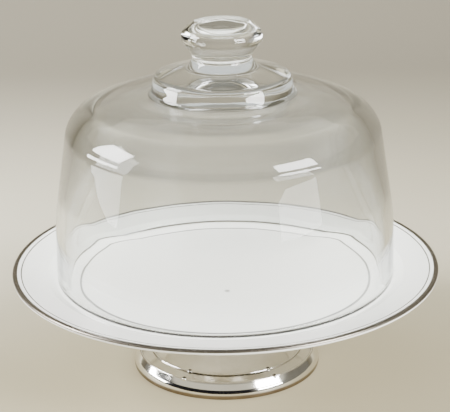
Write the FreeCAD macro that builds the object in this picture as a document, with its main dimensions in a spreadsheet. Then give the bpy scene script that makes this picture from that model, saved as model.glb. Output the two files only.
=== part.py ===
"""Footed cheese plate with a glass dome.

A porcelain plate is bonded to a silver-plated pedestal foot, and a pressed glass dome with a solid
knob stands loose on a ledge inside the plate's rim. Millimetres, +Z up, and the origin is the middle
of the circle on which the foot stands.
"""
import FreeCAD, Part
import math
import os
from types import SimpleNamespace

import Sketcher

# Driving sizes in millimetres, and angles in degrees: name, value, meaning.
SIZES = [
    # Pedestal foot: one spun shell, open underneath.
    ("foot_radius", 62.3, "outer radius of the foot where it stands"),
    ("foot_edge_height", 4.2, "where the upright edge and the leaning side would meet"),
    ("foot_edge_round", 10.0, "rounding between edge and side"),
    ("foot_side_rise", 5.7, "from there up to the outer reed"),
    ("foot_wall", 1.5, "metal thickness"),
    ("foot_rest_lip", 0.8, "how far the turned-under ring reaches in beyond the wall"),
    ("foot_rest_height", 1.4, "thickness of the turned-under ring"),
    ("reed_inset", 4.2, "from the foot's edge in to the outer reed"),
    ("reed_spacing", 7.7, "from the outer reed in to the inner one"),
    ("reed_rise", 1.9, "from the outer reed up to the inner one"),
    ("reed_round", 0.85, "radius of each reed's section"),
    ("tie_count", 6, "ribbon ties around the reeds"),
    ("tie_start", 1.7, "angle of the first tie from +X"),
    ("tie_slant", 48, "slant of each ribbon to the reed's section"),
    ("ribbon_width", 1.5, "width of the ribbon"),
    ("ribbon_thickness", 0.7, "thickness of the ribbon on the reed"),
    ("waist_radius", 17.0, "stem at its narrowest"),
    ("flare_rise", 18.8, "from the inner reed up to where base slope and stem would meet"),
    ("flare_radius", 24.0, "hollow sweep from the base into the stem"),
    ("seat_overhang", 16.0, "how far the seat reaches beyond the stem"),
    ("seat_sweep", 10.0, "hollow sweep from the stem into the seat"),
    ("seat_edge", 1.8, "thickness of the seat's edge"),
    ("pedestal_height", 58.6, "height of the seat's top face"),
    # Cement between seat and plate.
    ("cement_inset", 2.0, "from the seat's edge in to the cement's"),
    ("cement_thickness", 0.8, "thickness of the cement"),
    # Porcelain plate, upwards from the flat of its underside and outwards from the dome's seat.
    ("floor_thickness", 4.6, "porcelain under the well"),
    ("ledge_step", 1.6, "from the well up to the ledge that the dome stands on"),
    ("ledge_slope", 5.4, "width of the slope from the well up to the ledge"),
    ("ledge_inside", 1.6, "flat of the ledge inside the dome's wall"),
    ("ledge_gap", 1.4, "play between dome and the slope outside it"),
    ("shoulder_step", 2.4, "from the ledge up to the shoulder"),
    ("shoulder_slope", 5.2, "width of the slope from the ledge up to the shoulder"),
    ("shoulder_round", 2.6, "rounding of the shoulder"),
    ("rim_width", 22.4, "from the shoulder out to the plate's edge"),
    ("rim_lift", 3.7, "from the shoulder up to the rim's edge"),
    ("rim_edge", 3.0, "thickness at the rim's edge"),
    ("rim_wall", 4.4, "porcelain under the shoulder"),
    ("ring_inset", 13.0, "from the well's edge in to the middle of the foot ring underneath"),
    ("ring_width", 4.0, "width of the foot ring"),
    ("ring_drop", 2.4, "depth of the foot ring"),
    # Glass dome, upwards from the face it stands on.
    ("dome_radius", 111.0, "outer radius at the bottom"),
    ("dome_wall", 7.0, "wall at the bottom"),
    ("dome_lip_round", 1.6, "rounding of the bottom edges"),
    ("dome_side_height", 42.0, "height of the nearly upright stretch"),
    ("dome_side_lean", 0.9, "lean of that stretch"),
    ("dome_bend_round", 140.0, "bend into the tapering stretch"),
    ("dome_taper_height", 67.6, "height of the tapering stretch"),
    ("dome_taper_lean", 10.7, "lean of that stretch"),
    ("dome_shoulder_round", 22.0, "rounding of the shoulder"),
    ("dome_shoulder_wall", 7.2, "wall just below the shoulder"),
    ("dome_shoulder_depth", 5.9, "from the shoulder down to the one inside"),
    ("dome_inner_round", 20.0, "rounding inside the shoulder"),
    ("dome_crown_share", 0.377, "where the top flattens, as a share of the way from disc to shoulder"),
    ("dome_crown_rise", 11.0, "from the shoulder up to that place"),
    ("dome_crown_round", 60.0, "bend at that place"),
    ("dome_top_wall", 8.6, "glass under that place"),
    ("ceiling_rise", 5.0, "from there up to the middle of the ceiling"),
    ("ceiling_flat", 8.0, "where the slope of the ceiling levels out"),
    ("cap_foot_rise", 1.0, "from the flattening up to where the disc leaves the dome"),
    ("cap_height", 11.6, "side of the disc"),
    ("cap_lean", 2.0, "lean of that side"),
    ("cap_round", 4.0, "rounding of the disc's edge"),
    ("cap_foot_round", 3.0, "hollow where the disc leaves the dome"),
    ("cap_width", 20.3, "from the neck's foot out to the disc's edge"),
    ("cap_slope_rise", 4.4, "from the disc's edge up to the neck's foot"),
    ("neck_foot_width", 5.7, "from the neck out to its foot"),
    ("neck_rise", 6.8, "from the neck's foot up to its narrowest place"),
    ("neck_radius", 17.8, "where the neck's lower and upper sides would meet"),
    ("neck_round", 4.0, "hollow below and above the neck"),
    ("knob_overhang", 9.6, "from the neck out to where the knob's two sides would meet"),
    ("knob_side_rise", 13.0, "from the neck up to the knob's widest place"),
    ("knob_round", 7.0, "rounding of the knob's side"),
    ("knob_crown_rise", 8.6, "from the widest place up to where side and top would meet"),
    ("knob_top_inset", 6.1, "from the widest place in to there"),
    ("knob_top_round", 12.0, "rounding between the knob's side and top"),
    ("knob_top_rise", 2.6, "crown of the knob's top"),
    ("knob_flat_share", 0.33, "where that crown levels out, as a share of the top"),
    ("knob_flat_round", 50.0, "bend at that place"),
]


class Size:
    """A number together with the sheet expression that gives it."""

    def __init__(self, value, text):
        self.value = value
        self.text = text

    def __add__(self, other):
        other = as_size(other)
        return Size(self.value + other.value, "(%s + %s)" % (self.text, other.text))

    def __sub__(self, other):
        other = as_size(other)
        return Size(self.value - other.value, "(%s - %s)" % (self.text, other.text))

    def __mul__(self, other):
        other = as_size(other)
        return Size(self.value * other.value, "(%s * %s)" % (self.text, other.text))

    def __truediv__(self, other):
        other = as_size(other)
        return Size(self.value / other.value, "(%s / %s)" % (self.text, other.text))

    def at_most(self, other):
        """This size, or the other one where that is smaller: for roundings limited by their wall."""
        return Size(min(self.value, other.value), "min(%s; %s)" % (self.text, other.text))


def as_size(number):
    """Let plain numbers stand beside sheet values."""
    return number if isinstance(number, Size) else Size(float(number), repr(float(number)))


def make_sheet(doc):
    """Write the driving sizes into the sheet and return them as named values."""
    sheet = doc.addObject("Spreadsheet::Sheet", "Sizes")
    for row, (name, value, meaning) in enumerate(SIZES, start=1):
        sheet.set("A%d" % row, meaning)
        sheet.set("B%d" % row, str(value))
        sheet.setAlias("B%d" % row, name)
    doc.recompute()
    return SimpleNamespace(**{name: Size(float(value), "Sizes." + name) for name, value, _ in SIZES})


def origin_feature(body, role):
    """The body's own origin plane or axis with this role."""
    return next(f for f in body.Origin.OriginFeatures if f.Role == role)


def bind(item, path, size):
    """Drive one property or constraint from the sheet."""
    item.setExpression(path, size.text)


def corner_arc(before, corner, after, radius):
    """Start, end, middle and centre of the arc that rounds a corner."""
    back = (before - corner).normalize()
    ahead = (after - corner).normalize()
    half = math.acos(max(-1.0, min(1.0, back.dot(ahead)))) / 2
    centre = corner + (back + ahead).normalize() * (radius / math.sin(half))
    reach = radius / math.tan(half)
    middle = centre + (corner - centre).normalize() * radius
    return corner + back * reach, corner + ahead * reach, middle, centre


def fix_point(sketch, geometry, position, corner, label):
    """Hold a sketch point at its two sheet values, or on an axis where a value is nought."""
    for axis, kind, size, word in ((-2, "DistanceX", corner[0], "across"), (-1, "DistanceY", corner[1], "up")):
        if isinstance(size, Size):
            index = sketch.addConstraint(
                Sketcher.Constraint(kind, -1, 1, geometry, position, size.value))
            name = "%s_%s" % (word, label)
            sketch.renameConstraint(index, name)
            bind(sketch, "Constraints." + name, size)
        else:
            sketch.addConstraint(Sketcher.Constraint("PointOnObject", geometry, position, axis))


def draw_outline(sketch, corners):
    """Draw a closed outline from named corners, each (across, up, rounding or None, name).

    A corner with a rounding becomes an arc that is tangent to both its sides. A value of 0 puts the
    corner on the axis.
    """
    count = len(corners)
    points = [FreeCAD.Vector(as_size(c[0]).value, as_size(c[1]).value, 0) for c in corners]
    starts, ends, arcs = [], [], []
    for i, corner in enumerate(corners):
        if corner[2] is None:
            starts.append(points[i])
            ends.append(points[i])
            arcs.append(None)
            continue
        first, last, middle, _ = corner_arc(points[i - 1], points[i], points[(i + 1) % count],
                                            corner[2].value)
        starts.append(first)
        ends.append(last)
        arcs.append(Part.Arc(first, middle, last))

    lines = []
    for i in range(count):
        lines.append(sketch.addGeometry(Part.LineSegment(ends[i], starts[(i + 1) % count]), False))

    for i, corner in enumerate(corners):
        came, leaves = lines[i - 1], lines[i]
        if arcs[i] is None:
            sketch.addConstraint(Sketcher.Constraint("Coincident", came, 2, leaves, 1))
            fix_point(sketch, leaves, 1, corner, corner[3])
            continue
        arc = sketch.addGeometry(arcs[i], False)
        at_start = (sketch.getPoint(arc, 1) - starts[i]).Length < (sketch.getPoint(arc, 2) - starts[i]).Length
        near, far = (1, 2) if at_start else (2, 1)
        mark = sketch.addGeometry(Part.Point(points[i]), True)
        sketch.addConstraint(Sketcher.Constraint("Tangent", came, 2, arc, near))
        sketch.addConstraint(Sketcher.Constraint("Tangent", arc, far, leaves, 1))
        sketch.addConstraint(Sketcher.Constraint("PointOnObject", mark, 1, came))
        sketch.addConstraint(Sketcher.Constraint("PointOnObject", mark, 1, leaves))
        fix_point(sketch, mark, 1, corner, corner[3])
        index = sketch.addConstraint(Sketcher.Constraint("Radius", arc, corner[2].value))
        name = "round_" + corner[3]
        sketch.renameConstraint(index, name)
        bind(sketch, "Constraints." + name, corner[2])


def turned_body(doc, label, corners, height=None):
    """A body turned from one outline around its own upright axis."""
    body = doc.addObject("PartDesign::Body", label)
    body.Label = label
    sketch = body.newObject("Sketcher::SketchObject", label + "_outline")
    sketch.AttachmentSupport = [(origin_feature(body, "XZ_Plane"), "")]
    sketch.MapMode = "FlatFace"
    draw_outline(sketch, corners)
    doc.recompute()
    turn = body.newObject("PartDesign::Revolution", label + "_turned")
    turn.Profile = sketch
    turn.ReferenceAxis = (sketch, ["V_Axis"])
    turn.Angle = 360
    body.Tip = turn
    if height is not None:
        bind(body, "Placement.Base.z", height)
    doc.recompute()
    return body


def plate_base(s):
    """Height of the plate's flat underside above the table."""
    return s.pedestal_height + s.cement_thickness


def ribbon_place(s, radius, height, angle, slant):
    """Placement of one ribbon: out along the angle, turned with it, slanted, and centred on the reed."""
    out = "create(<<vector>>; %s * cos(%s * 1 deg); %s * sin(%s * 1 deg); %s)" % (
        radius.text, angle.text, radius.text, angle.text, height.text)
    turn = "create(<<rotation>>; %s; 0; %s)" % (angle.text, slant.text)
    back = "create(<<vector>>; 0; 0; %s)" % (s.ribbon_width * -0.5).text
    return Size(0, "create(<<placement>>; %s; %s) * create(<<placement>>; %s; create(<<rotation>>; 0; 0; 0))" % (
        out, turn, back))


def seat_radius(s):
    """Radius of the disc on which the plate is bonded."""
    return s.waist_radius + s.seat_overhang


def make_foot(doc, s):
    """Silver-plated pedestal: turned shell, two reeds, and ribbon ties across them."""
    outer_height = s.foot_edge_height + s.foot_side_rise
    outer_radius = s.foot_radius - s.reed_inset
    inner_height = outer_height + s.reed_rise
    inner_radius = outer_radius - s.reed_spacing
    flare_height = inner_height + s.flare_rise
    seat_below = s.pedestal_height - s.seat_edge
    stem_length = seat_below - flare_height
    flare = s.flare_radius.at_most(stem_length * 0.93)
    sweep = s.seat_sweep.at_most(stem_length * 0.4).at_most(s.seat_overhang * 0.9)
    inside = s.waist_radius - s.foot_wall
    wall_inside = s.foot_radius - s.foot_wall
    rest_inside = wall_inside - s.foot_rest_lip
    corners = [
        (s.foot_radius, 0, None, "rest_outside"),
        (s.foot_radius, s.foot_edge_height, s.foot_edge_round, "edge_top"),
        (outer_radius + s.reed_round, outer_height, None, "side_top"),
        (outer_radius - s.reed_round, outer_height + s.reed_round / 4, None, "outer_reed"),
        (inner_radius - s.reed_round, inner_height, None, "inner_reed"),
        (s.waist_radius, flare_height, flare, "flare"),
        (s.waist_radius, seat_below, sweep, "seat_sweep"),
        (seat_radius(s), seat_below, None, "seat_below"),
        (seat_radius(s), s.pedestal_height, None, "seat_edge"),
        (0, s.pedestal_height, None, "seat_middle"),
        (0, seat_below, None, "inside_top"),
        (inside, seat_below, None, "inside_seat"),
        (inside, flare_height - s.foot_wall, flare, "inside_flare"),
        (inner_radius - s.reed_round, inner_height - s.foot_wall, None, "inside_inner_reed"),
        (outer_radius - s.reed_round, outer_height - s.foot_wall, None, "inside_outer_reed"),
        (wall_inside, s.foot_edge_height, None, "inside_edge"),
        (wall_inside, s.foot_rest_height, None, "rest_above"),
        (rest_inside, s.foot_rest_height, None, "rest_lip"),
        (rest_inside, 0, None, "rest_inside"),
    ]
    body = turned_body(doc, "pedestal_foot", corners)

    reeds = (("outer", outer_radius, outer_height), ("inner", inner_radius, inner_height))
    for word, radius, height in reeds:
        reed = body.newObject("PartDesign::AdditiveTorus", word + "_reed")
        bind(reed, "Radius1", radius)
        bind(reed, "Radius2", s.reed_round)
        bind(reed, "Placement.Base.z", height)
        doc.recompute()

    for tie in range(int(s.tie_count.value)):
        angle = s.tie_start + as_size(tie * 360) / s.tie_count
        for word, radius, height in reeds:
            for side, sign in (("left", 1), ("right", -1)):
                ribbon = body.newObject("PartDesign::AdditiveCylinder", "%s_ribbon_%d_%s" % (word, tie, side))
                bind(ribbon, "Radius", s.reed_round + s.ribbon_thickness)
                bind(ribbon, "Height", s.ribbon_width)
                slant = s.tie_slant * sign + 90
                bind(ribbon, "Placement", ribbon_place(s, radius, height, angle, slant))
                doc.recompute()
    return body


def make_cement(doc, s):
    """Disc of hard cement that bonds the plate to the seat."""
    disc = doc.addObject("Part::Cylinder", "cement_bed")
    disc.Label = "cement_bed"
    bind(disc, "Radius", seat_radius(s) - s.cement_inset)
    bind(disc, "Height", s.cement_thickness)
    bind(disc, "Placement.Base.z", s.pedestal_height)
    doc.recompute()
    return disc


def ledge_rise(s):
    """Height of the ledge above the plate's flat underside."""
    return s.floor_thickness + s.ledge_step


def make_plate(doc, s):
    """Porcelain plate: rim, shoulder, ledge for the dome, well and foot ring."""
    ledge_start = s.dome_radius - s.dome_wall - s.ledge_inside
    well_radius = ledge_start - s.ledge_slope
    ledge_end = s.dome_radius + s.ledge_gap
    shoulder_radius = ledge_end + s.shoulder_slope
    shoulder_rise = ledge_rise(s) + s.shoulder_step
    rim_radius = shoulder_radius + s.rim_width
    rim_rise = shoulder_rise + s.rim_lift
    ring_outside = well_radius - s.ring_inset + s.ring_width / 2
    ring_inside = ring_outside - s.ring_width
    edge_round = s.rim_edge * 0.42
    corners = [
        (0, s.floor_thickness, None, "middle_top"),
        (well_radius, s.floor_thickness, None, "well_edge"),
        (ledge_start, ledge_rise(s), None, "ledge_start"),
        (ledge_end, ledge_rise(s), s.ledge_gap, "ledge_end"),
        (shoulder_radius, shoulder_rise, s.shoulder_round, "shoulder"),
        (rim_radius, rim_rise, edge_round, "rim_top"),
        (rim_radius, rim_rise - s.rim_edge, edge_round, "rim_below"),
        (shoulder_radius, shoulder_rise - s.rim_wall, s.rim_wall * 4.0, "shoulder_below"),
        (ring_outside, 0, None, "ring_root"),
        (ring_outside, s.ring_drop * -1.0, s.ring_width * 0.2, "ring_outside"),
        (ring_inside, s.ring_drop * -1.0, s.ring_width * 0.2, "ring_inside"),
        (ring_inside, 0, None, "ring_inner_root"),
        (0, 0, None, "middle_below"),
    ]
    return turned_body(doc, "porcelain_plate", corners, plate_base(s))


def make_dome(doc, s):
    """Glass dome, one piece with the disc, neck and knob on top."""
    side_top = s.dome_radius - s.dome_side_lean
    shoulder_radius = side_top - s.dome_taper_lean
    shoulder_height = s.dome_side_height + s.dome_taper_height
    neck_foot_radius = s.neck_radius + s.neck_foot_width
    cap_radius = neck_foot_radius + s.cap_width
    cap_foot_radius = cap_radius + s.cap_lean
    crown_radius = cap_foot_radius + (shoulder_radius - cap_foot_radius) * s.dome_crown_share
    crown_height = shoulder_height + s.dome_crown_rise
    cap_foot_height = crown_height + s.cap_foot_rise
    cap_top_height = cap_foot_height + s.cap_height
    neck_foot_height = cap_top_height + s.cap_slope_rise
    neck_height = neck_foot_height + s.neck_rise
    knob_radius = s.neck_radius + s.knob_overhang
    knob_height = neck_height + s.knob_side_rise
    knob_crown_height = knob_height + s.knob_crown_rise
    knob_crown_radius = knob_radius - s.knob_top_inset
    knob_top_height = knob_crown_height + s.knob_top_rise
    ceiling_height = crown_height - s.dome_top_wall
    lip_round = s.dome_lip_round.at_most(s.dome_wall * 0.4)
    corners = [
        (s.dome_radius, 0, lip_round, "lip_outside"),
        (side_top, s.dome_side_height, s.dome_bend_round, "side_bend"),
        (shoulder_radius, shoulder_height, s.dome_shoulder_round, "shoulder"),
        (crown_radius, crown_height, s.dome_crown_round, "crown"),
        (cap_foot_radius, cap_foot_height, s.cap_foot_round, "cap_foot"),
        (cap_radius, cap_top_height, s.cap_round, "cap_edge"),
        (neck_foot_radius, neck_foot_height, s.neck_round, "neck_foot"),
        (s.neck_radius, neck_height, s.neck_round, "neck"),
        (knob_radius, knob_height, s.knob_round, "knob_side"),
        (knob_crown_radius, knob_crown_height, s.knob_top_round, "knob_crown"),
        (knob_crown_radius * s.knob_flat_share, knob_top_height, s.knob_flat_round, "knob_top"),
        (0, knob_top_height, None, "knob_middle"),
        (0, ceiling_height + s.ceiling_rise, None, "ceiling_middle"),
        (s.ceiling_flat, ceiling_height + s.ceiling_rise, s.dome_crown_round, "ceiling_flat"),
        (crown_radius, ceiling_height, s.dome_crown_round, "ceiling_bend"),
        (shoulder_radius - s.dome_shoulder_wall, shoulder_height - s.dome_shoulder_depth,
         s.dome_inner_round, "inner_shoulder"),
        (side_top - s.dome_wall, s.dome_side_height, s.dome_bend_round, "inner_bend"),
        (s.dome_radius - s.dome_wall, 0, lip_round, "lip_inside"),
    ]
    return turned_body(doc, "glass_dome", corners, plate_base(s) + ledge_rise(s))


def check_object(item):
    """Stop on a feature that failed to compute."""
    bad = [word for word in item.State if word in ("Invalid", "Error")]
    if bad:
        raise RuntimeError("%s is %s" % (item.Name, ", ".join(bad)))


def main():
    doc = FreeCAD.newDocument("cheese_plate")
    s = make_sheet(doc)
    pieces = [make_foot(doc, s), make_cement(doc, s), make_plate(doc, s), make_dome(doc, s)]
    doc.recompute()
    for item in doc.Objects:
        check_object(item)
    os.makedirs("parts", exist_ok=True)
    for piece in pieces:
        if piece.Shape.isNull() or not piece.Shape.isValid():
            raise RuntimeError(piece.Label + " has no valid shape")
    for piece in pieces:
        piece.Shape.exportStep("parts/%s.step" % piece.Label)
        box = piece.Shape.optimalBoundingBox()
        print("%s: %d solid, %.0f mm3, z %.2f to %.2f, across %.2f" % (
            piece.Label, len(piece.Shape.Solids), piece.Shape.Volume, box.ZMin, box.ZMax, box.XLength))


main()
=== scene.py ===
"""Looks of a footed cheese plate with a glass dome.

Laid out as a Blender add-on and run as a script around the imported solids. Turned pieces are drawn
as half outlines in millimetres, rounded, and spun about the upright axis. +Z is up, and the origin
is the middle of the circle on which the foot stands.
"""

import math

import bmesh
import bpy
from mathutils import Matrix, Vector


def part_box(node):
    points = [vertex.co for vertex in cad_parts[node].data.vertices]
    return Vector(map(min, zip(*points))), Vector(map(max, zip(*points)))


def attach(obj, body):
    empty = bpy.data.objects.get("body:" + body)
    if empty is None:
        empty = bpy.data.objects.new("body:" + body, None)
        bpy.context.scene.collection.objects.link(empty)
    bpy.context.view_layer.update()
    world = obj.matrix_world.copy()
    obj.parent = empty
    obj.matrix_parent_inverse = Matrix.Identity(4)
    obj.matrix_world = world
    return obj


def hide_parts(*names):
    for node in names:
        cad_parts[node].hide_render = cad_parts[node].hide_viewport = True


bl_info = {
    "name": "Footed cheese plate with glass dome",
    "version": (1, 0, 0),
    "blender": (4, 5, 0),
    "location": "View3D > Sidebar > Cheese plate",
    "description": "Glass dome, porcelain plate, silver-plated foot, and the stage around them",
    "category": "Object",
}

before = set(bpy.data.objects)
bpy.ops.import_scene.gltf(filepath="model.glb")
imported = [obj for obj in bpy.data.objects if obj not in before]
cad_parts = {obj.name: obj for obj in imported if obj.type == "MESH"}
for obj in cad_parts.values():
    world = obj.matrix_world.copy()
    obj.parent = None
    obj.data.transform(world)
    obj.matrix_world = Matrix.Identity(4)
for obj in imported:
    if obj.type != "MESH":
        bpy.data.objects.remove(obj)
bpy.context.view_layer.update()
MM = 0.001
BODY = "root"

# Edges that turn more than this stay hard.
SHARP = math.radians(20.0)
# Faces around each turned piece.
SPIN_STEPS = 256

DOME_LOW, DOME_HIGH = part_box("glass_dome")
_, PLATE_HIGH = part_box("porcelain_plate")
_, CEMENT_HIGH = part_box("cement_bed")
_, FOOT_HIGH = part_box("pedestal_foot")

# The foot's two raised reeds: radius and height of each one's middle, and half the width of both,
#  in millimetres. The shape of the foot and the dark spots on its ties share them.
OUTER_REED = (58.1, 9.9)
INNER_REED = (50.4, 11.8)
HALF_REED = 0.85

# Softboxes: where each pair stands in x and y, its width, and for each panel the height of its
# middle above the table and its own height, in metres.
SOFTBOXES = {
    "left": ((-1.15, 0.02), 0.62, {"lower": (0.205, 0.13), "upper": (0.79, 0.62)}),
    "right": ((0.95, -0.74), 0.66, {"lower": (0.225, 0.10), "upper": (0.70, 0.48)}),
}


# ---------------------------------------------------------------- sizes and colours

def length(label, help_text, default):
    """A size that the panel shows in the scene's unit of length."""
    return bpy.props.FloatProperty(
        name=label, description=help_text, default=default, unit="LENGTH")


def colour(label, help_text, default):
    """A colour with alpha."""
    return bpy.props.FloatVectorProperty(
        name=label, description=help_text, default=default, size=4, subtype="COLOR",
        min=0.0, max=1.0)


def share(label, help_text, default):
    """A number from 0 to 1."""
    return bpy.props.FloatProperty(
        name=label, description=help_text, default=default, min=0.0, max=1.0, subtype="FACTOR")


def power(label, help_text, default):
    """An amount of light."""
    return bpy.props.FloatProperty(name=label, description=help_text, default=default, min=0.0)


class GlassSettings(bpy.types.PropertyGroup):
    """Sizes and colours of the dome."""
    wall: length("Wall at the edge", "Thickness of the glass just above its edge", 7.0 * MM)
    shoulder_wall: length(
        "Wall at the shoulder", "Thickness of the glass below the shoulder", 8.4 * MM)
    middle_wall: length(
        "Wall half way up", "Thickness of the glass in the middle of the side", 6.0 * MM)
    ceiling: length(
        "Ceiling", "Height of the ceiling's middle above the plate's ledge", 117.0 * MM)
    tint: colour(
        "Tint", "Colour of light that has passed through the glass", (0.87, 0.879, 0.865, 1.0))
    unevenness: share(
        "Unevenness", "Strength of the slow waves that pressing leaves in the wall", 0.28)


class PorcelainSettings(bpy.types.PropertyGroup):
    """Sizes and colours of the plate."""
    glaze: colour("Glaze", "White of the glazed porcelain", (0.80, 0.795, 0.77, 1.0))
    band: colour("Band", "Metallic band and line on the rim", (0.185, 0.165, 0.14, 1.0))
    band_inside: length("Band from", "Inner radius of the band on the rim", 136.9 * MM)
    band_outside: length("Band to", "Outer radius of the band on the rim", 140.4 * MM)
    line_radius: length("Line", "Radius of the thin line inside the band", 134.2 * MM)
    line_width: length("Line width", "Width of that line", 0.8 * MM)
    fleck: colour(
        "Fleck", "Small grey fleck in the glaze, and the grey ring at the well's edge",
        (0.12, 0.12, 0.118, 1.0))


class MetalSettings(bpy.types.PropertyGroup):
    """Sizes and colours of the foot."""
    silver: colour("Silver", "Polished plating", (0.86, 0.84, 0.79, 1.0))
    # Brown of the tarnished patches, also used for the painted shade along the bottom edge.
    tarnish_and_edge_shade: colour(
        "Tarnish", "Warm brown where the plating has darkened", (0.16, 0.115, 0.07, 1.0))
    ties: bpy.props.IntProperty(
        name="Ties", description="Ribbon ties around the reeds", default=6, min=2)
    first_tie: bpy.props.FloatProperty(
        name="First tie", description="Angle of the first tie from +X",
        default=math.radians(1.7), subtype="ANGLE", unit="ROTATION")


class StageSettings(bpy.types.PropertyGroup):
    """The paper sweep and the light."""
    paper: colour(
        "Paper", "Beige paper under and behind the object", (0.38, 0.34, 0.228, 1.0))
    painted_light_paper: colour(
        "Pale paper", "Where the light lies on the paper behind the object",
        (0.60, 0.56, 0.44, 1.0))
    painted_shade_paper: colour(
        "Far paper", "Where the paper rises into the shade", (0.292, 0.268, 0.21, 1.0))
    left_light: power(
        "Left softboxes", "Light of the left pair, watts per square metre", 134.0)
    right_light: power(
        "Right softboxes", "Light of the right pair, watts per square metre", 150.0)
    top_light: power("Overhead", "Power of the wide overhead light, in watts", 6.5)
    room: colour(
        "Room", "Soft light of the room around the stage", (0.23, 0.218, 0.182, 1.0))
    high: colour("Lit wall", "Lit part of the room above the belt", (0.85, 0.81, 0.67, 1.0))
    belt: colour(
        "Dark belt", "Dark belt of the room at the height of the table",
        (0.012, 0.012, 0.014, 1.0))


# ---------------------------------------------------------------- modelling

def bevel(bm, geom, offset, affect, steps):
    """Round vertices or edges with a circular profile."""
    bmesh.ops.bevel(
        bm, geom=geom, offset=offset, offset_type="OFFSET", affect=affect,
        segments=steps, profile=0.5, material=-1, clamp_overlap=False)


def corner_reach(before, corner, after, rounding):
    """How far from its corner a rounding of this radius leaves each side."""
    back, ahead = (before - corner).normalized(), (after - corner).normalized()
    half = math.acos(max(-1.0, min(1.0, back.dot(ahead)))) / 2
    return rounding / math.tan(half)


def wire(bm, points):
    """Join the points by edges, in order, and give back their vertices."""
    verts = [bm.verts.new(point) for point in points]
    for pair in zip(verts, verts[1:]):
        bm.edges.new(pair)
    return verts


def half_outline(bm, corners):
    """Open outline in the XZ plane from (across, up, rounding, steps) corners, rounded."""
    points = [Vector((across, 0.0, up)) for across, up, _, _ in corners]
    verts = wire(bm, points)
    for i, (_, _, rounding, steps) in enumerate(corners):
        if rounding > 0.0:
            reach = corner_reach(points[i - 1], points[i], points[i + 1], rounding)
            bevel(bm, [verts[i]], reach, "VERTICES", steps)


def split_long_edges(bm, longest):
    """Cut the outline's long straight stretches, so that the spun faces stay near square."""
    for edge in list(bm.edges):
        cuts = int(edge.calc_length() / longest)
        if cuts:
            bmesh.ops.subdivide_edges(bm, edges=[edge], cuts=cuts)


def spin_outline(bm):
    """Spin everything in the mesh once round the upright axis, and close its seam and poles."""
    bmesh.ops.spin(
        bm, geom=bm.verts[:] + bm.edges[:], cent=(0.0, 0.0, 0.0), axis=(0.0, 0.0, 1.0),
        dvec=(0.0, 0.0, 0.0), angle=math.tau, steps=SPIN_STEPS, use_merge=True,
        use_duplicate=False)
    bmesh.ops.remove_doubles(bm, verts=bm.verts[:], dist=0.001 * MM)
    bmesh.ops.recalc_face_normals(bm, faces=bm.faces[:])


def turned(corners, base, longest):
    """Mesh spun from the corners of a half outline.

    Sizes are in millimetres, heights count from base, and no straight stretch of the outline
    stays longer than longest.
    """
    bm = bmesh.new()
    half_outline(bm, [(a * MM, (base + u) * MM, r * MM, n) for a, u, r, n in corners])
    split_long_edges(bm, longest * MM)
    spin_outline(bm)
    return bm


def smooth_object(bm, name, material):
    """Make the mesh an object in the scene that is shaded smooth between its sharp edges."""
    for edge in bm.edges:
        edge.smooth = edge.calc_face_angle(0.0) < SHARP
    mesh = bpy.data.meshes.new(name)
    bm.to_mesh(mesh)
    bm.free()
    mesh.polygons.foreach_set("use_smooth", [True] * len(mesh.polygons))
    mesh.materials.append(material)
    made = bpy.data.objects.new(name, mesh)
    bpy.context.scene.collection.objects.link(made)
    return made


def finish_piece(bm, name, material, node):
    """Make the mesh an object that rides on the body and stands for its CAD node."""
    piece = smooth_object(bm, name, material)
    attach(piece, BODY)
    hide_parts(node)


# ---------------------------------------------------------------- shader nodes

class Value:
    """One output of a node. Arithmetic on it adds Math nodes."""

    def __init__(self, shader, socket):
        self.shader = shader
        self.socket = socket

    def math(self, operation, *others):
        """A Math node whose first input is this value."""
        inputs = dict(enumerate((self, *others)))
        return self.shader.node("Math", {"operation": operation}, inputs)

    def above(self, limit):
        """1 where the value is over the limit, otherwise 0."""
        return self.math("GREATER_THAN", limit)

    def __add__(self, other):
        return self.math("ADD", other)

    __radd__ = __add__

    def __sub__(self, other):
        return self.math("SUBTRACT", other)

    def __rsub__(self, other):
        return self.shader.node("Math", {"operation": "SUBTRACT"}, {0: other, 1: self})

    def __mul__(self, other):
        return self.math("MULTIPLY", other)

    def __truediv__(self, other):
        return self.math("DIVIDE", other)

    def __abs__(self):
        return self.math("ABSOLUTE")

    def __pow__(self, other):
        return self.math("POWER", other)


def distance(across, along):
    """Length of the flat vector with these two parts."""
    return (across * across + along * along) ** 0.5


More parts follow.
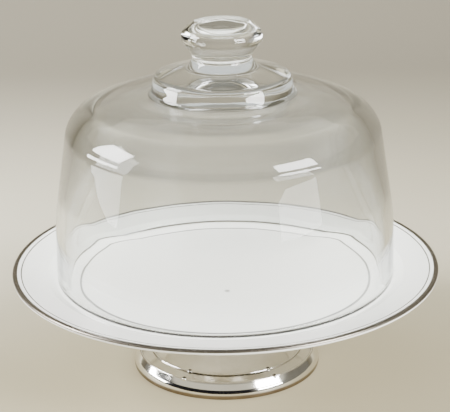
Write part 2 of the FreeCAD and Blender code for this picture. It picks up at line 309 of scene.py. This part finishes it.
class Shader:
    """The node tree of a material or of the world. Every node comes from one method."""

    def __init__(self, owner):
        self.owner = owner
        owner.use_nodes = True
        self.tree = owner.node_tree
        self.tree.nodes.clear()

    def node(self, kind, settings=None, inputs=None, output=0):
        """Add a node: its settings first, then the values or links of its inputs."""
        made = self.tree.nodes.new("ShaderNode" + kind)
        for key, value in (settings or {}).items():
            setattr(made, key, value)
        for key, value in (inputs or {}).items():
            if isinstance(value, Value):
                self.tree.links.new(value.socket, made.inputs[key])
            else:
                made.inputs[key].default_value = value
        return Value(self, made.outputs[output]) if made.outputs else made

    def where(self):
        """Object coordinates as a vector."""
        return self.node("TexCoord", output="Object")

    def axes(self, vector):
        """The x, y and z of a vector."""
        return [self.node("SeparateXYZ", None, {0: vector}, output=i) for i in range(3)]

    def step(self, value, low, high):
        """0 below low, 1 above high, smooth between."""
        return self.node("MapRange", {"interpolation_type": "SMOOTHSTEP"},
                         {"Value": value, "From Min": low, "From Max": high})

    def fade(self, value, low, high):
        """1 below low, 0 above high, smooth between."""
        return 1.0 - self.step(value, low, high)

    def belt(self, value, start, full, fading, end):
        """1 from full to fading, 0 before start and after end, smooth between."""
        return self.step(value, start, full) * self.fade(value, fading, end)

    def noise(self, where, scale, detail=2.0, roughness=0.5):
        """Noise with this many waves in a metre."""
        return self.node("TexNoise", None, {
            "Vector": where, "Scale": scale, "Detail": detail, "Roughness": roughness})

    def stretched(self, where, scale):
        """Coordinates scaled along each axis."""
        return self.node("Mapping", None, {"Vector": where, "Scale": scale})

    def mix(self, factor, first, second):
        """Colour that goes from first to second with the factor."""
        inputs = {0: factor, 6: first, 7: second}
        return self.node("Mix", {"data_type": "RGBA"}, inputs, output=2)

    def bump(self, height, strength, deep):
        """Normal of a surface that rises with the height, over a distance of deep metres."""
        return self.node("Bump", None, {
            "Height": height, "Strength": strength, "Distance": deep})

    def finish(self, surface, output="OutputMaterial"):
        """Link the surface to the output, and give back the owner of the tree."""
        self.node(output, None, {"Surface": surface})
        return self.owner


def clear_glass(settings):
    """Pressed glass: clear, with slow waves, and light passes it without a hard shadow.

    A ray that has met too many surfaces is trapped in the wall, so it goes straight out.
    """
    most_surfaces, most_mirrorings = 6.5, 2.5
    shadow_tint = (0.93, 0.94, 0.93, 1.0)
    trapped_tint = (0.60, 0.62, 0.64, 1.0)
    s = Shader(bpy.data.materials.new("clear_glass"))
    waves = s.noise(s.stretched(s.where(), (1.0, 1.0, 0.6)), scale=26.0, detail=1.0)
    glass = s.node("BsdfPrincipled", None, {
        "Base Color": tuple(settings.tint), "Roughness": 0.0, "IOR": 1.5,
        "Transmission Weight": 1.0, "Normal": s.bump(waves, settings.unevenness, 1.0 * MM)})
    shadow = s.node("LightPath", output="Is Shadow Ray")
    surfaces = s.node("LightPath", output="Ray Depth")
    mirrorings = s.node("LightPath", output="Glossy Depth")
    trapped = surfaces.above(most_surfaces).math("MAXIMUM", mirrorings.above(most_mirrorings))
    through = s.node("BsdfTransparent", None, {"Color": shadow_tint})
    escape = s.node("BsdfTransparent", None, {"Color": trapped_tint})
    seen = s.node("MixShader", None, {0: trapped, 1: glass, 2: escape})
    return s.finish(s.node("MixShader", None, {0: shadow, 1: seen, 2: through}))


def glazed_porcelain(settings):
    """White glaze, a metallic band and line on the rim, a grey ring and a fleck in the well."""
    blur = 0.12 * MM
    well_ring = 96.2 * MM
    fleck_x, fleck_y = 1.0 * MM, -33.0 * MM
    fleck_across, fleck_along = 1.5, 2.4
    second_glaze = (0.78, 0.775, 0.755, 1.0)
    s = Shader(bpy.data.materials.new("glazed_porcelain"))
    where = s.where()
    x, y, z = s.axes(where)
    wobble = (s.noise(where, scale=60.0) - 0.5) * (0.15 * MM)
    radius = distance(x, y) + wobble

    on_rim = s.step(z, PLATE_HIGH.z - 1.35 * MM, PLATE_HIGH.z - 1.15 * MM)
    band = s.belt(radius, settings.band_inside - blur, settings.band_inside + blur,
                  settings.band_outside - blur, settings.band_outside + blur)
    half_line = settings.line_width / 2
    line = s.fade(abs(radius - settings.line_radius), half_line - blur, half_line + blur)
    worn = s.step(s.noise(where, scale=420.0, detail=4.0), 0.36, 0.46)
    painted = on_rim * (band + line * 0.75) * (worn * 0.06 + 0.94)

    upper_side = s.step(z, 62.0 * MM, 63.0 * MM)
    from_fleck = distance((x - fleck_x) / fleck_across, (y - fleck_y) / fleck_along)
    fleck = s.fade(from_fleck, 0.4 * MM, 1.8 * MM) * upper_side
    ring = s.fade(abs(radius - well_ring), 0.4 * MM, 1.1 * MM) * upper_side
    cloud = s.noise(where, scale=14.0, detail=3.0)
    glaze = s.mix(cloud * 0.25, tuple(settings.glaze), second_glaze)
    glaze = s.mix(fleck * 0.75 + ring * 0.9, glaze, tuple(settings.fleck))

    dull = s.noise(where, scale=90.0, detail=3.0)
    underside = s.fade(z, CEMENT_HIGH.z + 0.2 * MM, CEMENT_HIGH.z + 0.5 * MM)
    ripple = s.noise(where, scale=34.0)
    return s.finish(s.node("BsdfPrincipled", None, {
        "Base Color": s.mix(painted, glaze, tuple(settings.band)),
        "Metallic": painted * 0.95,
        "Roughness": 0.10 + dull * 0.06 + painted * 0.16 + underside * 0.35,
        "IOR": 1.55,
        "Normal": s.bump(ripple, 0.06, 0.6 * MM)}))


def silver_plate(settings):
    """Polished plating with tarnished patches, brown painted shade along the bottom edge, painted
    shade under the reeds at the front, and a dark spot on each tie.
    """
    shade_and_spot_colour = (0.07, 0.066, 0.06, 1.0)
    between_reeds = 54.0 * MM
    s = Shader(bpy.data.materials.new("silver_plate"))
    where = s.where()
    x, y, z = s.axes(where)
    radius = distance(x, y)

    # Painted shade: dark lines in the crevices under the two reeds, on the front only.
    front = s.fade(abs(x), 18.0 * MM, 34.0 * MM) * s.fade(y, -20.0 * MM, 0.0)
    under_inner = s.belt(radius, 51.1 * MM, 51.3 * MM, 52.0 * MM, 52.4 * MM)
    under_outer = s.belt(radius, 58.8 * MM, 59.0 * MM, 59.2 * MM, 59.5 * MM)
    # A dark spot sits on the middle of each tie, where its ribbons cross.
    spacing = math.tau / settings.ties
    turns = (y.math("ARCTAN2", x) - settings.first_tie + math.tau + spacing / 2) / spacing
    from_tie = (turns.math("FRACT") - 0.5) * (spacing * between_reeds)
    knots = sum(s.fade(distance(radius - reed * MM, from_tie), 0.9 * MM, 1.4 * MM)
                for reed, _ in (OUTER_REED, INNER_REED))
    reed_shade_and_tie_spots = (under_inner * 0.9 + under_outer * 0.45) * front + knots * 0.95

    patches = s.noise(where, scale=38.0, detail=4.0, roughness=0.6)
    # Painted shade: the bottom edge turns brown for the shaded floor that it reflects; the patches
    # are the plating's own darkening.
    painted_edge_shade = s.fade(z, 2.0 * MM, 3.4 * MM)
    dark = s.step(patches, 0.35, 0.8) * 0.15 + painted_edge_shade * 0.85
    plating = s.mix(dark, tuple(settings.silver), tuple(settings.tarnish_and_edge_shade))
    rubbed = s.noise(s.stretched(where, (1.0, 1.0, 6.0)), scale=160.0, detail=3.0)
    stem = s.step(z, 22.0 * MM, 32.0 * MM)
    return s.finish(s.node("BsdfPrincipled", None, {
        "Base Color": s.mix(reed_shade_and_tie_spots, plating, shade_and_spot_colour),
        "Metallic": 1.0,
        "Roughness": 0.05 + rubbed * 0.07 + dark * 0.12 + stem * 0.34,
        "Normal": s.bump(patches, 0.05, 0.5 * MM)}))


def plaster_cement():
    """Matt cement with a fine grain."""
    dark_grain, light_grain = (0.55, 0.52, 0.45, 1.0), (0.72, 0.69, 0.62, 1.0)
    s = Shader(bpy.data.materials.new("plaster_cement"))
    grain = s.noise(s.where(), scale=900.0, detail=4.0, roughness=0.7)
    return s.finish(s.node("BsdfPrincipled", None, {
        "Base Color": s.mix(grain, dark_grain, light_grain),
        "Roughness": 0.85 + grain * 0.1,
        "Normal": s.bump(grain, 0.4, 0.2 * MM)}))


def paper_sweep_material(settings):
    """Beige paper with a painted pool of light behind the object towards the left, and painted
    shade where it rises.
    """
    s = Shader(bpy.data.materials.new("paper_sweep"))
    where = s.where()
    across, along, _ = s.axes(where)
    along = along + s.noise(where, scale=2.2) * 0.12
    # Painted light and shade: paler behind the object, more on the left, and darker where the paper
    # rises away.
    lit = s.step(along, 0.0, 0.33) * (1.0 - s.step(across, -0.25, 0.40) * 0.55)
    paper = s.mix(lit, tuple(settings.paper), tuple(settings.painted_light_paper))
    paper = s.mix(s.step(along, 0.26, 0.90), paper, tuple(settings.painted_shade_paper))
    return s.finish(s.node("BsdfPrincipled", None, {
        "Base Color": paper, "Roughness": 0.75, "Specular IOR Level": 0.25}))


# ---------------------------------------------------------------- operators

class CHEESEPLATE_OT_dome(bpy.types.Operator):
    """Build the pressed glass dome with its disc, neck and knob"""
    bl_idname = "cheeseplate.dome"
    bl_label = "Glass dome"

    def execute(self, context):
        look = context.scene.cheese_glass
        base = DOME_LOW.z / MM
        edge, edge_round = DOME_HIGH.x / MM, 1.6
        top = DOME_HIGH.z / MM - base
        wall, ceiling = look.wall / MM, look.ceiling / MM
        middle_wall, shoulder_wall = look.middle_wall / MM, look.shoulder_wall / MM
        side, side_up, side_round = edge - 0.9, 42.0, 140.0
        shoulder, shoulder_up, inner_shoulder_up = side - 10.7, 109.6, 103.2
        crown, crown_up, crown_round, crown_drop = 66.0, 120.6, 60.0, 5.0
        disc_foot, disc_foot_up = 45.8, 121.6
        disc, disc_up = 43.8, 133.2
        neck_foot, neck_foot_up = 23.5, 137.6
        neck, neck_up = 17.8, 144.4
        knob, knob_up = 27.4, 157.4
        knob_shoulder, knob_shoulder_up = 21.3, 166.0
        knob_top, ceiling_middle = 7.0, 8.0
        corners = [
            (0.0, top, 0.0, 0),
            (knob_top, top, 50.0, 6),
            (knob_shoulder, knob_shoulder_up, 12.0, 20),
            (knob, knob_up, 7.0, 28),
            (neck, neck_up, 4.0, 12),
            (neck_foot, neck_foot_up, 4.0, 10),
            (disc, disc_up, 4.0, 12),
            (disc_foot, disc_foot_up, 3.0, 10),
            (crown, crown_up, crown_round, 8),
            (shoulder, shoulder_up, 22.0, 24),
            (side, side_up, side_round, 12),
            (edge, 0.0, edge_round, 8),
            (edge - wall, 0.0, edge_round, 8),
            (side - middle_wall, side_up, side_round, 12),
            (shoulder - shoulder_wall, inner_shoulder_up, 23.0, 28),
            (crown, ceiling - crown_drop, crown_round, 8),
            (ceiling_middle, ceiling, 60.0, 6),
            (0.0, ceiling, 0.0, 0),
        ]
        bm = turned(corners, base, 5.0)
        finish_piece(bm, "dome_glass", clear_glass(look), "glass_dome")
        return {"FINISHED"}


class CHEESEPLATE_OT_plate(bpy.types.Operator):
    """Build the porcelain plate with its rim, ledge, well and foot ring"""
    bl_idname = "cheeseplate.plate"
    bl_label = "Porcelain plate"

    def execute(self, context):
        look = context.scene.cheese_porcelain
        base = CEMENT_HIGH.z / MM
        well, well_up = 97.0, 4.6
        ledge, ledge_end, ledge_up = 102.4, 112.4, 6.2
        slope, slope_up, slope_under = 117.6, 8.6, 4.2
        rim, rim_up, rim_thickness, rim_round = PLATE_HIGH.x / MM, 12.3, 3.0, 1.26
        ring, ring_inside, ring_up, ring_round = 86.0, 82.0, -2.4, 0.8
        corners = [
            (0.0, well_up, 0.0, 0),
            (well, well_up, 3.0, 6),
            (ledge, ledge_up, 3.0, 6),
            (ledge_end, ledge_up, 1.4, 6),
            (slope, slope_up, 2.6, 8),
            (rim, rim_up, rim_round, 10),
            (rim, rim_up - rim_thickness, rim_round, 10),
            (slope, slope_under, 17.6, 10),
            (ring, 0.0, 0.0, 0),
            (ring, ring_up, ring_round, 6),
            (ring_inside, ring_up, ring_round, 6),
            (ring_inside, 0.0, 0.0, 0),
            (0.0, 0.0, 0.0, 0),
        ]
        bm = turned(corners, base, 8.0)
        finish_piece(bm, "plate_porcelain", glazed_porcelain(look), "porcelain_plate")
        return {"FINISHED"}


class CHEESEPLATE_OT_foot(bpy.types.Operator):
    """Build the silver-plated foot: turned shell, two reeds and the ribbon ties"""
    bl_idname = "cheeseplate.foot"
    bl_label = "Pedestal foot"

    def execute(self, context):
        look = context.scene.cheese_metal
        metal = 1.5
        edge, edge_up = 62.3, 4.2
        inside = edge - metal
        lip, lip_up = inside - 0.8, 1.4
        (outer, outer_up), (inner, inner_up) = OUTER_REED, INNER_REED
        waist, flare_up = 17.0, 30.6
        seat, seat_up = 33.0, FOOT_HIGH.z / MM
        seat_under = seat_up - 1.8
        # From the seat's underside down the inside to the edge, and up the outside to its top.
        corners = [
            (0.0, seat_under, 0.0, 0),
            (waist - metal, seat_under, 0.0, 0),
            (waist - metal, flare_up - metal, 24.0, 24),
            (inner - HALF_REED, inner_up - metal, 0.0, 0),
            (outer - HALF_REED, outer_up - metal, 0.0, 0),
            (inside, edge_up, 0.0, 0),
            (inside, lip_up, 0.0, 0),
            (lip, lip_up, 0.0, 0),
            (lip, 0.0, 0.0, 0),
            (edge, 0.0, 0.3, 4),
            (edge, edge_up, 10.0, 16),
            (outer + HALF_REED, outer_up + 0.1, 0.0, 0),
            (outer + HALF_REED, outer_up + HALF_REED, 0.7, 8),
            (outer - HALF_REED, outer_up + HALF_REED, 0.55, 8),
            (outer - HALF_REED, outer_up + 0.2, 0.0, 0),
            (inner + HALF_REED, inner_up - 0.3, 0.0, 0),
            (inner + HALF_REED, inner_up + HALF_REED, 0.7, 8),
            (inner - HALF_REED, inner_up + HALF_REED, 0.6, 8),
            (inner - HALF_REED, inner_up, 0.0, 0),
            (waist, flare_up, 24.0, 24),
            (waist, seat_under, 10.0, 16),
            (seat, seat_under, 0.2, 4),
            (seat, seat_up, 0.2, 4),
            (0.0, seat_up, 0.0, 0),
        ]
        bm = turned(corners, 0.0, 4.0)
        for number in range(look.ties):
            angle = look.first_tie + number * math.tau / look.ties
            for radius, up in (OUTER_REED, INNER_REED):
                for slant in (48.0, -48.0):
                    self.add_ribbon(bm, radius * MM, up * MM, angle, math.radians(90.0 + slant))
        finish_piece(bm, "foot_silver", silver_plate(look), "pedestal_foot")
        return {"FINISHED"}

    @staticmethod
    def add_ribbon(bm, radius, up, angle, slant):
        """One turn of ribbon around a reed, slanted across it."""
        width, thickness, rounding = 1.5 * MM, 0.7 * MM, 0.2 * MM
        outside = HALF_REED * MM + thickness
        ribbon = bmesh.new()
        bmesh.ops.create_cone(
            ribbon, cap_ends=True, segments=32, radius1=outside, radius2=outside, depth=width)
        bevel(ribbon, ribbon.edges[:], rounding, "EDGES", 2)
        place = (Matrix.Translation((radius * math.cos(angle), radius * math.sin(angle), up))
                 @ Matrix.Rotation(angle, 4, "Z") @ Matrix.Rotation(slant, 4, "X"))
        bmesh.ops.transform(ribbon, matrix=place, verts=ribbon.verts[:])
        mesh = bpy.data.meshes.new("ribbon")
        ribbon.to_mesh(mesh)
        ribbon.free()
        bm.from_mesh(mesh)
        bpy.data.meshes.remove(mesh)


class CHEESEPLATE_OT_cement(bpy.types.Operator):
    """Give the cement between plate and foot its matt grain"""
    bl_idname = "cheeseplate.cement"
    bl_label = "Cement bed"

    def execute(self, context):
        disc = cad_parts["cement_bed"]
        disc.data.materials.clear()
        disc.data.materials.append(plaster_cement())
        return {"FINISHED"}


class CHEESEPLATE_OT_stage(bpy.types.Operator):
    """Lay the paper sweep, hang the lights and set the camera"""
    bl_idname = "cheeseplate.stage"
    bl_label = "Stage"

    def execute(self, context):
        look = context.scene.cheese_stage
        self.lay_paper(look)
        self.hang_lights(look)
        self.set_room(context.scene, look)
        self.set_camera(context.scene)
        return {"FINISHED"}

    @staticmethod
    def lay_paper(look):
        """Paper on the table that rises behind the object in one sweep."""
        near, bend, far = (0.0, -2.2, 0.0), (0.0, 1.25, 0.0), (0.0, 2.0, 1.6)
        half_width, bend_reach, bend_steps = 2.5, 0.5, 24
        bm = bmesh.new()
        _, bend_vert, _ = wire(bm, (near, bend, far))
        bevel(bm, [bend_vert], bend_reach, "VERTICES", bend_steps)
        side = bmesh.ops.extrude_edge_only(bm, edges=bm.edges[:])
        moved = [v for v in side["geom"] if isinstance(v, bmesh.types.BMVert)]
        bmesh.ops.translate(bm, verts=moved, vec=(2 * half_width, 0.0, 0.0))
        bmesh.ops.translate(bm, verts=bm.verts[:], vec=(-half_width, 0.0, 0.0))
        bmesh.ops.recalc_face_normals(bm, faces=bm.faces[:])
        paper = smooth_object(bm, "paper_sweep", paper_sweep_material(look))

    @staticmethod
    def add_light(name, place, target, width, height, watts):
        """Hang a rectangular light that faces its target."""
        lamp = bpy.data.lights.new(name, "AREA")
        lamp.shape = "RECTANGLE"
        lamp.size, lamp.size_y = width, height
        lamp.energy = watts
        light = bpy.data.objects.new(name, lamp)
        bpy.context.scene.collection.objects.link(light)
        light.location = place
        toward = Vector(target) - Vector(place)
        light.rotation_euler = toward.to_track_quat("-Z", "Y").to_euler()
        return light

    def hang_lights(self, look):
        """Two pairs of softboxes, and a wide overhead light that no reflection shows."""
        aim_lower = 0.1
        for side, strength in (("left", look.left_light), ("right", look.right_light)):
            (x, y), width, panels = SOFTBOXES[side]
            for level, (up, height) in panels.items():
                self.add_light(
                    f"{side}_softbox_{level}", (x, y, up), (0.0, 0.0, up - aim_lower),
                    width, height, strength * width * height)
        overhead = self.add_light(
            "overhead", (-0.10, 0.55, 1.6), (0.0, 0.0, 0.13), 1.6, 1.2, look.top_light)
        overhead.data.color = (1.0, 0.985, 0.96)
        overhead.visible_glossy = False
        overhead.visible_transmission = False

    @staticmethod
    def set_room(scene, look):
        """Soft light all round, a lit wall high up, and a dark belt on the front left.

        The up of a direction is the sine of its angle above the horizon.
        """
        scene.world = bpy.data.worlds.new("room")
        s = Shader(scene.world)
        across, along, up = s.axes(s.node("TexCoord", output="Generated"))
        front_left = s.step(along * -0.8 - across * 0.6, 0.2, 0.45)
        belt = s.belt(up, -0.01, 0.02, 0.36, 0.40) * front_left
        lit = s.belt(up, 0.34, 0.40, 0.60, 0.80)
        tone = s.mix(lit, tuple(look.room), tuple(look.high))
        tone = s.mix(belt, tone, tuple(look.belt))
        s.finish(s.node("Background", None, {"Color": tone, "Strength": 1.0}), "OutputWorld")

    @staticmethod
    def set_camera(scene):
        """Camera of the photograph: a long lens, 20 degrees down, with the plate 28 cm across."""
        place, down, roll = (0.0004, -0.908, 0.439), 19.95, -0.9
        lens = bpy.data.cameras.new("camera")
        lens.sensor_width, lens.lens = 36.0, 118.16
        lens.clip_start, lens.clip_end = 0.05, 20.0
        camera = bpy.data.objects.new("camera", lens)
        scene.collection.objects.link(camera)
        camera.matrix_world = (Matrix.Translation(place)
                               @ Matrix.Rotation(math.radians(90.0 - down), 4, "X")
                               @ Matrix.Rotation(math.radians(roll), 4, "Z"))
        scene.camera = camera


class CHEESEPLATE_PT_panel(bpy.types.Panel):
    """Lists the pieces of the cheese plate"""
    bl_idname = "CHEESEPLATE_PT_panel"
    bl_label = "Cheese plate"
    bl_space_type = "VIEW_3D"
    bl_region_type = "UI"
    bl_category = "Cheese plate"

    def draw(self, context):
        for operator in OPERATORS:
            self.layout.operator(operator.bl_idname)
        for group in SETTINGS:
            settings = getattr(context.scene, group)
            for key in settings.bl_rna.properties.keys():
                if key not in ("rna_type", "name"):
                    self.layout.prop(settings, key)


OPERATORS = (CHEESEPLATE_OT_foot, CHEESEPLATE_OT_cement, CHEESEPLATE_OT_plate,
             CHEESEPLATE_OT_dome, CHEESEPLATE_OT_stage)
SETTINGS = {"cheese_glass": GlassSettings, "cheese_porcelain": PorcelainSettings,
            "cheese_metal": MetalSettings, "cheese_stage": StageSettings}


def register():
    for group, settings in SETTINGS.items():
        bpy.utils.register_class(settings)
        setattr(bpy.types.Scene, group, bpy.props.PointerProperty(type=settings))
    for operator in OPERATORS:
        bpy.utils.register_class(operator)
    bpy.utils.register_class(CHEESEPLATE_PT_panel)


def unregister():
    bpy.utils.unregister_class(CHEESEPLATE_PT_panel)
    for operator in reversed(OPERATORS):
        bpy.utils.unregister_class(operator)
    for group, settings in SETTINGS.items():
        delattr(bpy.types.Scene, group)
        bpy.utils.unregister_class(settings)


def main():
    register()
    for operator in OPERATORS:
        group, action = operator.bl_idname.split(".")
        getattr(getattr(bpy.ops, group), action)()


if __name__ == "__main__":
    main()
